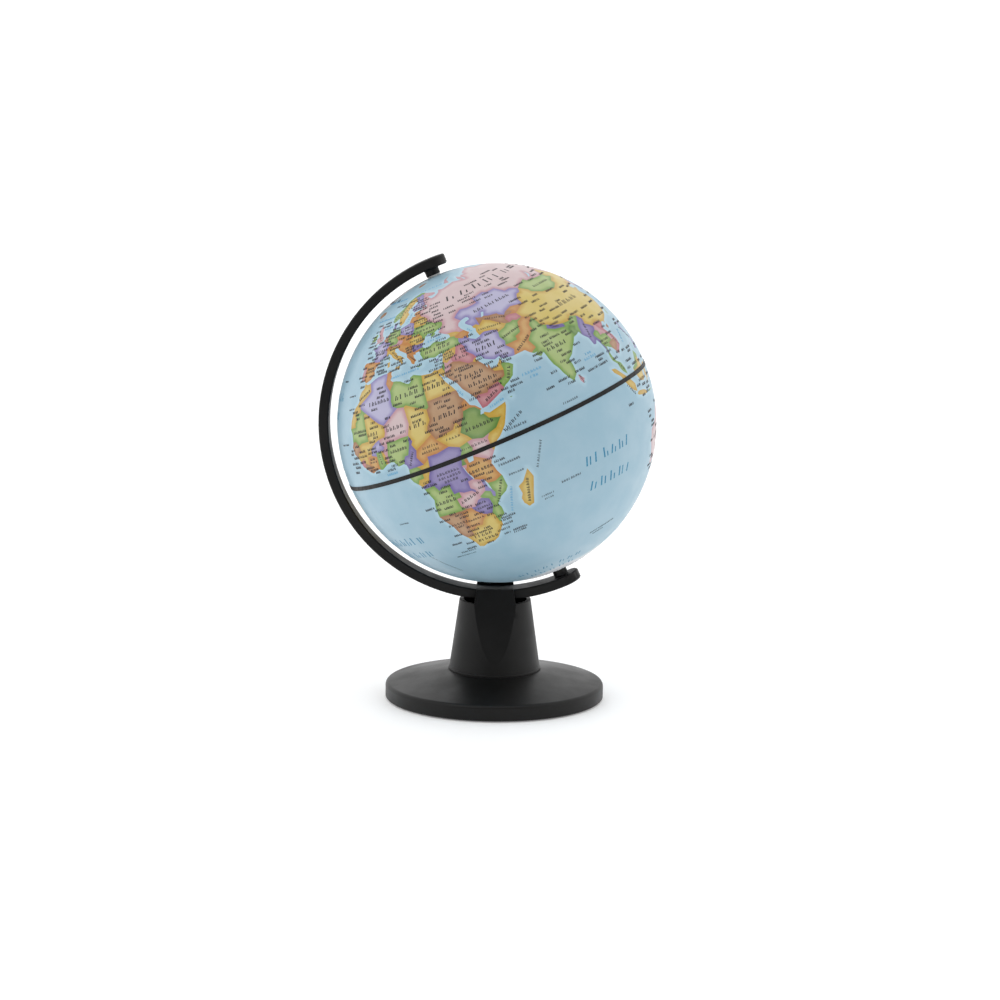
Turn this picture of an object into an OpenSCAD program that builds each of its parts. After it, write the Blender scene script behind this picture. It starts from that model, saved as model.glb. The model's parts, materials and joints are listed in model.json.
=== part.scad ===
// Desktop globe: a ball that spins between the ends of a curved arm, on a column and a round base.
// Frame: millimetres, +Z up, origin on the table under the column. The arm lies in the XZ plane,
// on the -X side of the ball, and the north pole leans towards -X.

/* [Ball] */
// Outside diameter of the ball
ball_d = 160; // [150:1:170]
// Wall thickness of the two shells of the ball
shell_t = 1.2; // [1:0.1:1.8]
// Lean of the polar axis from the vertical, in degrees
axis_tilt = 23.5; // [18:0.5:28]
// Width of the tape over the equator seam
tape_w = 2.1; // [1.8:0.1:4]

/* [Arm] */
// Gap between the ball and the inside of the arm
arm_gap = 4.1; // [4:0.1:5]
// Thickness of the arm, measured towards the ball
arm_t = 5; // [4:0.1:5]
// Width of the arm
arm_w = 14.6; // [12:0.1:15]
// Diameter of the post at each end of the arm
post_d = 7.3; // [7:0.1:9]

/* [Column] */
// Diameter of the column where it meets the base
foot_d = 46.4; // [45.5:0.1:47]
// Diameter of the column at its rim
rim_d = 36.2; // [36:0.1:37]
// Height of the rim above the table
rim_z = 51; // [50:0.1:60]
// Height of the two cheeks above the rim
cheek_h = 7.1; // [6:0.1:7.4]
// Wall thickness of the column
column_t = 2.2; // [1.8:0.1:2.6]

/* [Base] */
// Diameter of the base
base_d = 111; // [108:1:120]
// Height of the top edge of the base
edge_z = 8.6; // [8:0.1:9.5]
// Height of the seat of the column
seat_z = 14.9; // [14.5:0.1:16]
// Wall thickness of the base
base_t = 2.4; // [2:0.1:2.6]

/* [Hidden] */
$fn = 96;
eps = 0.01;             // overlap that keeps a cut clean

// Ball and arm radii, all from the ball's centre
ball_r = ball_d / 2;
arm_ri = ball_r + arm_gap;
arm_ro = arm_ri + arm_t;
arm_lift = 0.5;         // the arm's lowest point is this far above the rim
ball_z = rim_z + arm_lift + arm_ro;

// Axle: distances along the polar axis from the ball's centre
pin_r = 1.5;
pin_play = 0.05;        // radial running clearance of the pin in the bush
bush_face = ball_r + 0.22;
washer_t = 0.4;
washer_gap = 0.08;      // end play between the bush and the washer
washer_face = bush_face + washer_gap;
post_face = washer_face + washer_t;
bush_len = 10.2;
bush_hub_r = 3.2;
bush_flange_r = 7;
pin_start = bush_face - bush_len + 1;
pin_end = arm_ro - 1.2;

// Arm
arm_chamfer = 0.6;
arm_over = 1;           // the round ends start this many degrees past the poles
arm_end_sweep = 7;      // sweep of the blank that each round end is cut from
post_fillet = 1;

// Column
foot_r = foot_d / 2;
rim_r = rim_d / 2;
cone_slope = (foot_r - rim_r) / (rim_z - seat_z);
cheek_z = rim_z + cheek_h;
flat_y = 14.7;          // distance of each flat from the arm's plane, at the rim
flat_slope = 0.257;     // the flats lean outwards by this much per millimetre down
cheek_w_rim = 20.4;
cheek_w_top = 18.4;
groove_play = 0.1;
saddle_z = 44;          // underside of the saddle block
saddle_floor = 3;       // plastic left between the arm and the pocket under it
pocket = [15, 19];
spigot_r = 12;
spigot_h = 2.2;
bead_h = 1.4;           // rounded bead round the foot
bead_out = 0.25;
bead_round = 0.6;
bead_r = foot_r + bead_out;

// Screws
tap_r = 1.3;            // shank radius of the column screws and the arm screw
cover_tap_r = 1.2;
pan_r = 2.9;
pan_h = 1.9;
column_screw_ring = 17.2;
column_screw_len = 9.5;
column_boss_r = 3.4;
column_boss_z = 27;
cover_screw_ring = 38;
cover_boss_r = 3.6;
screw_washer_r = 3.6;
screw_washer_t = 0.6;

// Base, from the table up
base_r = base_d / 2;
felt_t = 1.2;
felt_r = 48;
rim_lift = 0.6;         // the rim stays this far above the table
cover_t = 2;
cover_z = felt_t;
ballast_z = cover_z + cover_t;
ballast_t = 3.2;
ballast_r = [14, 46];
edge_fillet = 2;
seat_r = 24;

// Height of a screw's pocket ceiling: the underside of the saddle floor
saddle_ceiling = ball_z - arm_ro - saddle_floor;

// Points of an arc about c, from angle a0 to a1 in n steps
function arc(c, r, a0, a1, n) = [for (i = [0:n]) c + r * [cos(a0 + (a1 - a0) * i / n), sin(a0 + (a1 - a0) * i / n)]];
// Radius of the column's cone, and half the distance between its flats, at height z
function cone_r(z) = rim_r + cone_slope * (rim_z - z);
function flat_at(z) = flat_y + flat_slope * (rim_z - z);

// Puts children on the polar axis, local +Z towards the north pole, origin at the ball's centre
module polar() translate([0, 0, ball_z]) rotate([0, -axis_tilt, 0]) children();

module south() mirror([0, 0, 1]) children();

// Copies of the children at n places on a ring of radius r
module around(n, r, start = 0)
    for (i = [0:n - 1]) rotate([0, 0, start + 360 * i / n]) translate([r, 0, 0]) children();

// Cross-head drive recess, cut downwards from z = 0
module cross_recess(size) for (a = [0, 90]) rotate([0, 0, a]) translate([0, 0, -0.9]) linear_extrude(2) square([size, 0.7], center = true);

// Pan-head screw: the head hangs below z = 0 and the shank stands above it
module pan_screw(length) difference() {
    union() {
        translate([0, 0, -pan_h]) cylinder(r1 = pan_r - 0.6, r2 = pan_r, h = 0.7);
        translate([0, 0, 0.7 - pan_h]) cylinder(r = pan_r, h = pan_h - 0.7);
        cylinder(r = tap_r, h = length - 1);
        translate([0, 0, length - 1]) cylinder(r1 = tap_r, r2 = 0.5, h = 1);
    }
    translate([0, 0, -pan_h]) mirror([0, 0, 1]) cross_recess(3.2);
}

// ---- Base ----

module base_profile() polygon(concat(
    [[seat_r - 0.2, seat_z - base_t], [spigot_r + 0.1, seat_z - base_t], [spigot_r + 0.1, seat_z], [seat_r, seat_z]],
    arc([base_r - edge_fillet, edge_z - edge_fillet], edge_fillet, 80, 0, 8),
    [[base_r, rim_lift + 0.5], [base_r - 0.5, rim_lift], [base_r - base_t, rim_lift],
     [base_r - base_t, ballast_z], [base_r - base_t - 1.9, ballast_z],
     [base_r - base_t - 1.9, edge_z - base_t + 0.5]]
));

module base_shell() color([0.09, 0.09, 0.09]) difference() {
    union() {
        rotate_extrude() base_profile();
        intersection() {
            around(3, cover_screw_ring, 60) translate([0, 0, ballast_z]) cylinder(r = cover_boss_r, h = edge_z);
            rotate_extrude() polygon([
                [0, 0], [base_r - base_t, 0], [base_r - base_t, edge_z - base_t + 1],
                [seat_r, seat_z - 1], [0, seat_z - 1]
            ]);
        }
    }
    around(3, cover_screw_ring, 60) translate([0, 0, ballast_z - 1]) cylinder(r = cover_tap_r, h = 6);
    around(3, column_screw_ring) translate([0, 0, seat_z - base_t - 1]) cylinder(r = tap_r + 0.3, h = base_t + 2);
}

module ballast_ring() color("slategray") translate([0, 0, ballast_z]) difference() {
    cylinder(r = ballast_r[1], h = ballast_t);
    translate([0, 0, -1]) cylinder(r = ballast_r[0], h = ballast_t + 2);
    around(3, cover_screw_ring, 60) translate([0, 0, -1]) cylinder(r = cover_boss_r + 0.3, h = ballast_t + 2);
}

module bottom_cover() color("dimgray") translate([0, 0, cover_z]) difference() {
    cylinder(r = base_r - base_t - 0.2, h = cover_t);
    around(3, cover_screw_ring, 60) {
        translate([0, 0, -1]) cylinder(r = cover_tap_r + 0.3, h = cover_t + 2);
        translate([0, 0, -eps]) cylinder(r1 = pan_r + 0.1, r2 = cover_tap_r + 0.3, h = 1.5);
    }
}

module cover_screws() color("silver") around(3, cover_screw_ring, 60) translate([0, 0, cover_z]) difference() {
    union() {
        cylinder(r1 = pan_r, r2 = cover_tap_r, h = 1.5);
        cylinder(r = cover_tap_r, h = 6);
    }
    mirror([0, 0, 1]) cross_recess(3);
}

module foot_felt() color("black") cylinder(r = felt_r, h = felt_t);

// ---- Column ----

module column_outer() rotate_extrude() polygon(concat(
    [[0, seat_z], [bead_r, seat_z]],
    arc([bead_r - bead_round, seat_z + bead_h - bead_round], bead_round, 0, 90, 6),
    [[cone_r(seat_z + bead_h), seat_z + bead_h], [cone_r(cheek_z + 1), cheek_z + 1], [0, cheek_z + 1]]
));

// Everything between the two leaning flats, set in by t
module between_flats(t = 0) rotate([90, 0, 90]) linear_extrude(2 * foot_d, center = true) polygon([
    [-flat_at(seat_z - 1) + t, seat_z - 1], [flat_at(seat_z - 1) - t, seat_z - 1],
    [flat_at(cheek_z) - t, cheek_z], [-flat_at(cheek_z) + t, cheek_z]
]);

module column_cavity() intersection() {
    rotate_extrude() polygon([
        [0, seat_z - 1], [cone_r(seat_z) - column_t, seat_z - 1],
        [cone_r(rim_z) - column_t, rim_z + 1], [0, rim_z + 1]
    ]);
    between_flats(column_t);
}

// The saddle block that carries the arm, with its two cheeks
module saddle() intersection() {
    column_outer();
    between_flats();
    rotate([90, 0, 0]) linear_extrude(foot_d, center = true) polygon([
        [-cheek_w_rim / 2, saddle_z], [cheek_w_rim / 2, saddle_z], [cheek_w_rim / 2, rim_z],
        [cheek_w_top / 2, cheek_z], [-cheek_w_top / 2, cheek_z], [-cheek_w_rim / 2, rim_z]
    ]);
}

module column() color([0.11, 0.11, 0.11]) difference() {
    union() {
        difference() {
            intersection() {
                column_outer();
                between_flats();
                translate([0, 0, rim_z / 2]) cube([2 * foot_d, 2 * foot_d, rim_z], center = true);
            }
            column_cavity();
        }
        saddle();
        intersection() {
            around(3, column_screw_ring) translate([0, 0, seat_z]) cylinder(r = column_boss_r, h = column_boss_z - seat_z);
            column_outer();
            between_flats();
        }
        translate([0, 0, seat_z - spigot_h]) difference() {
            cylinder(r = spigot_r, h = spigot_h + 3);
            translate([0, 0, -1]) cylinder(r = spigot_r - 1.6, h = spigot_h + 5);
        }
        translate([0, 0, seat_z]) difference() {
            cylinder(r = column_screw_ring + 4, h = 2);
            translate([0, 0, -1]) cylinder(r = spigot_r - 1.6, h = 4);
        }
    }
    // groove for the arm
    translate([0, 0, ball_z]) rotate([90, 0, 0])
        cylinder(r = arm_ro + 0.02, h = arm_w + 2 * groove_play, center = true, $fn = 256);
    // pocket under the saddle floor
    translate([-pocket[0] / 2, -pocket[1] / 2, saddle_z - 1]) cube([pocket[0], pocket[1], saddle_ceiling - saddle_z + 1]);
    translate([0, 0, saddle_ceiling - 1]) cylinder(r = tap_r + 0.3, h = saddle_floor + 2);
    around(3, column_screw_ring) translate([0, 0, seat_z - 1]) cylinder(r = tap_r, h = column_screw_len - base_t + 2);
}

module column_screws() color("silver") around(3, column_screw_ring)
    translate([0, 0, seat_z - base_t]) pan_screw(column_screw_len);

module arm_screw() color("silver") translate([0, 0, saddle_ceiling - screw_washer_t]) pan_screw(6.6);

module arm_screw_washer() color("silver") translate([0, 0, saddle_ceiling - screw_washer_t]) difference() {
    cylinder(r = screw_washer_r, h = screw_washer_t);
    translate([0, 0, -1]) cylinder(r = tap_r + 0.2, h = screw_washer_t + 2);
}

// ---- Arm ----

module arm_section() polygon([
    [arm_ri + arm_chamfer, -arm_w / 2], [arm_ro - arm_chamfer, -arm_w / 2],
    [arm_ro, -arm_w / 2 + arm_chamfer], [arm_ro, arm_w / 2 - arm_chamfer],
    [arm_ro - arm_chamfer, arm_w / 2], [arm_ri + arm_chamfer, arm_w / 2],
    [arm_ri, arm_w / 2 - arm_chamfer], [arm_ri, -arm_w / 2 + arm_chamfer]
]);

// Arm between two angles in the plane of the polar axis, 90 at the north pole and 270 at the south
module arm_sweep(a0, a1) rotate([90, 0, 0]) rotate([0, 0, a0]) rotate_extrude(angle = a1 - a0, $fn = 256) arm_section();

// Cutter for a round end: a cylinder with its edges taken off
module end_cutter() rotate_extrude() polygon([
    [0, arm_ri - 1], [arm_w / 2 - 1.45, arm_ri - 1], [arm_w / 2, arm_ri + 0.45],
    [arm_w / 2, arm_ro - 0.75], [arm_w / 2 - 1.75, arm_ro + 1], [0, arm_ro + 1]
]);

// Post that stands on the inside of the arm on the polar axis
module post() rotate_extrude() polygon(concat(
    [[0, post_face], [post_d / 2, post_face]],
    arc([post_d / 2 + post_fillet, arm_ri - post_fillet], post_fillet, 180, 90, 6),
    [[post_d / 2 + post_fillet, arm_ri + 1], [0, arm_ri + 1]]
));

module arm_end() {
    intersection() {
        arm_sweep(90 - arm_end_sweep, 91);
        rotate([0, arm_over, 0]) end_cutter();
    }
    post();
}

module pin_hole() translate([0, 0, post_face - 1]) cylinder(r = pin_r, h = pin_end - post_face + 1);

module meridian_arm() color([0.1, 0.1, 0.1]) difference() {
    polar() difference() {
        union() {
            arm_sweep(90 - arm_over, 270 + arm_over);
            arm_end();
            south() arm_end();
        }
        pin_hole();
        south() pin_hole();
    }
    translate([0, 0, ball_z - arm_ro - 1]) cylinder(r = tap_r, h = 4.2);
}

module axle_pin() color("silver") union() {
    translate([0, 0, pin_start + 0.5]) cylinder(r = pin_r, h = pin_end - pin_start - 0.5);
    translate([0, 0, pin_start]) cylinder(r1 = pin_r - 0.5, r2 = pin_r, h = 0.5);
}

module axle_washer() color([0.15, 0.15, 0.15]) translate([0, 0, washer_face]) difference() {
    cylinder(r = post_d / 2 - 0.2, h = washer_t);
    translate([0, 0, -1]) cylinder(r = pin_r + 0.1, h = washer_t + 2);
}

// ---- Ball ----

module hemisphere() difference() {
    sphere(r = ball_r, $fn = 180);
    sphere(r = ball_r - shell_t, $fn = 180);
    translate([0, 0, -ball_r]) cube([3 * ball_r, 3 * ball_r, 2 * ball_r], center = true);
    translate([0, 0, ball_r - 10]) cylinder(r = bush_hub_r + 0.05, h = 20);
}

module pole_bush() color("white") difference() {
    union() {
        translate([0, 0, bush_face - bush_len]) cylinder(r = bush_hub_r, h = bush_len);
        intersection() {
            translate([0, 0, ball_r - 3]) cylinder(r = bush_flange_r, h = 3);
            sphere(r = ball_r - shell_t - 0.05, $fn = 180);
        }
    }
    translate([0, 0, bush_face - bush_len - 1]) cylinder(r = pin_r + pin_play, h = bush_len + 2);
}

module joining_ring() color("white") polar() difference() {
    cylinder(r = ball_r - shell_t - 0.13, h = 8, center = true, $fn = 180);
    cylinder(r = ball_r - shell_t - 2, h = 9, center = true, $fn = 180);
}

module equator_tape() color([0.13, 0.12, 0.12]) polar() difference() {
    cylinder(r = ball_r + 0.2, h = tape_w, center = true, $fn = 180);
    cylinder(r = ball_r + 0.02, h = tape_w + 2, center = true, $fn = 180);
}

base_shell();
ballast_ring();
bottom_cover();
cover_screws();
foot_felt();
column();
column_screws();
arm_screw();
arm_screw_washer();
meridian_arm();
polar() axle_pin();  // north_axle_pin
polar() south() axle_pin();  // south_axle_pin
polar() axle_washer();  // north_washer
polar() south() axle_washer();  // south_washer
color("lightblue") polar() hemisphere();  // north_hemisphere
color("lightblue") polar() south() hemisphere();  // south_hemisphere
joining_ring();
equator_tape();
polar() pole_bush();  // north_pole_bush
polar() south() pole_bush();  // south_pole_bush
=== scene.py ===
"""Looks for the desktop globe: the printed ball, the black stand, a pale studio and the camera."""

import json
import math

import bpy
import numpy as np
from mathutils import Matrix, Vector
from mathutils.geometry import delaunay_2d_cdt


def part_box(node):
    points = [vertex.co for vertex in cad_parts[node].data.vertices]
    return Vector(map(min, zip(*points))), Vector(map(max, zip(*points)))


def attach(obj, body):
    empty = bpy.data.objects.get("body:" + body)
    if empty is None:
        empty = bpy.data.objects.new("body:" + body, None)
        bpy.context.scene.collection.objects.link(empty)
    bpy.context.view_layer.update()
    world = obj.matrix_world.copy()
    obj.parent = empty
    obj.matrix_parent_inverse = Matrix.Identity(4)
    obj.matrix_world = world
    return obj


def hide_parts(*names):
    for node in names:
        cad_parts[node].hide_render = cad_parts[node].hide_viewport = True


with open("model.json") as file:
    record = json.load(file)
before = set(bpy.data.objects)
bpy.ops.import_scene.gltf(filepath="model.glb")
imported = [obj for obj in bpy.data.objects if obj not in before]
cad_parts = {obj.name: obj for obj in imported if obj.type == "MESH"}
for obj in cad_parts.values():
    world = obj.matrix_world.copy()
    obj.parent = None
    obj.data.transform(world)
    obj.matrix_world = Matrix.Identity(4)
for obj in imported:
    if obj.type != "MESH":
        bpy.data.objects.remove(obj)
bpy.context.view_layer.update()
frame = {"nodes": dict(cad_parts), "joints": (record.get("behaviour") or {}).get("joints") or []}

MM = 0.001
NODES = frame["nodes"]
SPIN = next(joint for joint in frame["joints"] if joint["name"] == "globe_spin")
CENTRE = Vector(SPIN["pos_m"])
AXIS = Vector(SPIN["axis"]).normalized()

# ---- World map ----
# Places are longitude/latitude in degrees, rounded. A semicolon ends a shore or a border, and a row
# that starts with # is a note.

MAINLAND = """
# Old World: Nile delta, round Africa to Suez
32.3/31.2 31/31.5 29.5/31 27.5/31.2 25.2/31.6 23.2/32.3 21.7/32.9 20/32.3 20/30.9 19/30.3 17.5/30.9 15.3/32.3
13.2/32.9 11.2/33.2 10.1/34 11/35.2 10.6/36.2 11/37 9.8/37.3 8/36.9 6.3/37 4.8/36.8 3/36.8 1/36.4 -1/35.7
-2.9/35.2 -4.5/35.2 -5.7/35.9 -6.4/34.2 -8.3/33.3 -9.7/31.5 -9.7/30 -11/28.9 -13/27.9 -14.5/26.2 -16/23.8
-17/21 -16.2/19.5 -16.2/18 -16.5/16 -17.5/14.7 -16.7/13.2 -16.7/12.3 -15/11 -13.6/9.5 -13.2/8.5 -12.5/7.4
-11/6.5 -9/5 -7.5/4.4 -5.5/5.1 -4/5.3 -2/4.8 -0.2/5.5 1.2/6.1 3.4/6.4 4.6/6.2 5.3/5.3 6/4.3 7.5/4.4 8.5/4.6
9.5/4 9.8/2.5 9.5/1 9.3/0 8.8/-0.8 9.5/-2.4 11.2/-4 12/-5 12.3/-6 13.2/-8.7 13.8/-10.7 12.6/-13.5 12.2/-15.4
11.8/-17.3 12.8/-19.5 14.4/-22.5 15/-26.3 16.5/-28.6 18/-31.8 18.3/-34.2 20/-34.8 22.5/-34 25.7/-34 28/-33
30/-31 31/-29.9 32.6/-28.2 32.8/-26 35.3/-24.2 35.4/-21.5 34.8/-19.9 37/-17.8 39.5/-16.5 40.7/-15 40.5/-10.8
39.5/-8.5 39.2/-6.7 38.8/-5.5 39.6/-4 41.5/-1.7 43.4/0.8 45.3/2 48/4.7 49.8/8 51/10.5 51.3/11.8 49/11.3
45/10.5 43.2/11.5 42.8/12.8 41.2/14.6 39.6/15.4 38.5/18 37.2/19.5 37/21.5 35.6/23.9 34/26.2 32.7/29 32.5/30
# Sinai, Arabia, Persia, India
33.3/28.6 34.2/27.8 34.9/29.5 34.8/29 34.6/28 36.3/26 38/24.1 39.1/21.5 41/19 42.6/16.5 43.3/12.7 45/12.8
48/14 51/15.2 52.2/15.6 54/17 55.3/17.5 57.8/19 58.6/20.5 59.8/22.4 58.5/23.6 56.6/24.6 56.4/26.3 55/25
54/24.1 51.8/24.1 51.6/25.8 51.1/26 50.8/24.9 50.1/26.5 48.7/28.3 48/29.6 48.8/30.3 50.2/30 51/28.3 52.5/27.5
54.5/26.6 56.5/27.1 57.4/25.7 61.5/25.1 64.5/25.2 66.5/25.2 67.6/23.9 69/22.8 70.4/22.8 69/22.2 70.8/20.8
72.5/21.8 72.7/20.5 72.8/19 73.3/16.5 74.4/14.5 75/12.4 76.3/9.8 77.5/8.1 78.2/8.9 79.9/10.3 80.2/13.2
80.1/15.6 82.3/16.7 84.5/18.7 86.8/20.6 88/21.7 90/22 91.6/22.6 92.3/20.8 94/19 94.3/16 95.5/15.8 97/17
97.8/15.5 98.6/12.5 98.3/9.5 98.4/8 100.3/6.2 100.6/4.2 101.5/2.8 103.5/1.3 103.4/3.8 102.5/6 100.5/7.3
99.6/9.5 99.5/11.8 100/13.4 101/12.7 102.5/12 103.6/10.6 104.8/8.7 106.8/10.4 109/11.5 109.2/13.5 108.4/15.9
106.8/17.5 105.8/19 106.8/20.5 108/21.6
# China, Korea, Siberia
109.7/21.4 110/20.4 110.8/21.4 113.8/22.3 116.7/23.3 119.5/25.5 121.3/28 122/30 121.5/31.8 120.4/33.8
119.3/35 120.5/36.2 122.5/37 121/37.7 119/37.3 117.7/38.8 119/39.3 121.6/40.7 121.3/39 124.3/40 125/38
126.5/37 126.4/34.5 129/35.2 129.4/37 127.5/39.5 130/42 132/43.2 135.5/44.6 138.5/47 140.5/50 141/53 139/54.2
135.5/54.7 138/56.5 143/59.3 150/59.6 155/59.3 154.8/61 160/61.8 163/62.4 163/60 160/58.5 156.5/57.5 155.7/54
156.7/51 159.5/53 162/55.5 163.3/58 166/60 170/60 174/61.8 179/62.5 180/64.8 184/64.6 189.6/66.1 185/67.2
181/68.8 176/69.7 170.5/69 167/69.5 161/69.5 159/70.8 152/71 147/72.3 140/72.6 134/71.5 130/71 127/72.8
122/73 113.5/73.7 110/74 113/75.8 104.3/77.7 98/76.3 88/75.3 80.5/73.5 80.5/72 75/72.3 72.5/71 73/68 71/68
72/71 69.5/73 67/70 68.5/68.3 60.5/69.8 54/68.6 48/67.6 44/68.3 43.5/66.4 39.8/64.6 36.8/64.2 33.3/66.5
38/66.1 41/66.7 40/67.8 33/69.4
# Scandinavia, Baltic, Atlantic Europe
29/70.6 25.7/71.1 20/70 15/68.3 12.8/66 10/64 5.4/62 5/60.5 5.6/58.8 7/58 9.5/58.9 10.6/59.5 11.4/58.5
12.8/55.6 14.2/55.4 16/56.3 16.6/57.6 18.8/59.8 17.2/61.3 18.3/62.8 21.5/64.8 22.2/65.8 25.4/65 21.3/62.8
21.4/60.9 23/59.9 28/60.5 30.2/59.9 25/59.5 23.4/59.2 23.8/58.3 24.4/57.3 22/57.5 21/56.3 20.5/54.8 18.7/54.5
14.2/53.9 11/54 10.6/54.6 9.9/55.4 10.6/57.6 8.2/57 8.3/55.4 8.8/53.9 6/53.4 4.2/52 2.5/51.1 1.6/50.4
0.2/49.6 -1.7/49.7 -1.5/48.6 -4.7/48.4 -2/47 -1.2/45.5 -1.7/43.4 -4/43.5 -8/43.7 -9.2/43 -8.8/41 -9.4/38.7
-8.9/37 -7.2/37.2 -6.2/36.5 -5.5/36 -2.2/36.7 -0.7/37.7 0.2/38.8 -0.3/39.6 0.8/40.8 3.2/41.9 3.1/43.1 5/43.3
7.5/43.8 8.8/44.4 10.3/43.5 11.2/42.3 13/41.2 15/40.2 16/39 15.8/38 17.1/39 16.9/40.4 18.5/40 17/41.1
15.9/41.9 14/42.6 13.5/43.6 12.4/44.4
# Adriatic, Aegean, Levant, back to the Nile
12.4/45.4 13.7/45.6 14.5/45.1 15.2/44.2 17/43.2 19.4/41.8 19.4/40.3 21/38.7 21.6/37.2 22.8/36.6 23.2/37.5
24/37.8 23.1/39 22.8/40.4 24.1/40.1 24/40.8 26/40.8 26.4/40.2 26.2/39.4 26.8/38.3 27.3/37 28.3/36.7 30.5/36.7
32.5/36.1 34.4/36.6 36/36.8 35.8/35 35/32.8 34.3/31.4;
# New World: Alaska, the Arctic and Hudson Bay, the Atlantic and Caribbean shores
-168/65.6 -162/66.4 -166.5/68.3 -156.5/71.3 -141/69.6 -135/69.2 -128/70.3 -115/68.3 -108/67.9 -96/68.2
-94/71.8 -88/69 -82/69.5 -82/67.3 -86.5/66 -94/61 -94.5/59 -92.5/57 -82.3/55.2 -80/51.5 -79/54.5 -77/57.5
-78.5/62.5 -74/62.3 -69.5/61 -69.5/58.9 -65/60 -62/57.5 -60/55.3 -56/52.5 -60/50.2 -66.5/50.2 -69.5/48.3
-65/49 -64.5/47.2 -61/46 -65.5/43.6 -66.5/45 -70.3/43.5 -70/41.8 -74/40.6 -75.5/38 -76/36 -77.8/34 -81/32
-81.4/30.3 -80.1/26.8 -80.7/25.2 -82/27 -82.8/29 -84.5/30 -89.5/30.3 -89.5/29.2 -94/29.6 -97.2/27.7 -97.7/25
-97.6/22 -96/19.2 -94.5/18.2 -91/18.7 -90.3/21 -87/21.5 -87.8/18.5 -88.5/16 -83.3/15 -83.6/11.3 -82/9
-79.8/9.5 -77/8.6 -75.5/10.6 -71.7/12.3 -71.5/11 -68.5/11.4 -66/10.6 -62/10.7 -60/8.5 -57.2/6 -54/5.8
-51.6/4.2 -50/1 -48.3/-1 -44.3/-2.6 -40/-2.9 -37/-4.8 -35.2/-5.7 -34.9/-8 -37/-11 -38.8/-13.5 -39.2/-17.5
-41/-22 -43.5/-23 -46.3/-24.1 -48.6/-26.5 -49.8/-29.3 -52.2/-32.2 -54.9/-34.9 -58.3/-34 -57/-36.3 -58/-38.2
-62.2/-38.9 -62.6/-41 -65/-41.2 -65.4/-44 -67.5/-46.2 -65.9/-47.8 -69/-50.5 -68.4/-52.4 -65.3/-54.7
-68.5/-55.3 -72.5/-53.5 -75.3/-50.5
# Pacific shore
-75.5/-47 -73/-43.5 -73.6/-39.5 -71.7/-33 -71.5/-29.5 -70.3/-23.5 -70.4/-18.3 -76/-13.8 -78/-10 -81.2/-6
-80.3/-3.4 -80.9/-1 -80/1 -78.8/1.7 -77.2/4 -77.6/7.2 -78.5/8.8 -80.3/7.5 -82.8/8.2 -85/10 -87.6/12.9
-91.5/14 -94.5/16.2 -99.8/16.8 -105.4/20 -105.6/22 -109.3/25.5 -112.6/30 -114.7/31.7 -113/28.8 -111/25
-109.5/23 -112.2/25.5 -115/28 -117.2/32.5 -120.6/34.5 -122.5/37.7 -124.3/40.3 -124/44 -124.6/48.3 -123/49
-127.5/51.3 -130.3/54.5 -135/58 -139.5/59.7 -147/61 -151.5/59.5 -158/56.3 -164.5/54.6 -160/57.7 -157.5/58.8
-162/59.8 -166/61.8 -161.5/63.6 -161/64.6 -166.3/64.6;
# Australia
142.5/-10.7 143.8/-14.3 145.4/-15.4 146.3/-18.9 149/-20.5 151/-23.5 153.1/-25.5 153.6/-28.5 152.4/-32.3
150/-37.2 147/-38.3 144/-38.3 140.5/-38 138.5/-35.6 137.8/-32.8 135.5/-34.8 131.2/-31.5 124/-33 118/-35
115/-34.3 115.7/-31.5 113.5/-26 114/-22 117/-20.7 121/-19.3 122.3/-17.2 125/-14.6 129/-15 130.8/-12.3
132.7/-11.4 136.8/-12.1 135.5/-15 140/-17.6 141/-16 141.7/-12.7
"""

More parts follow.
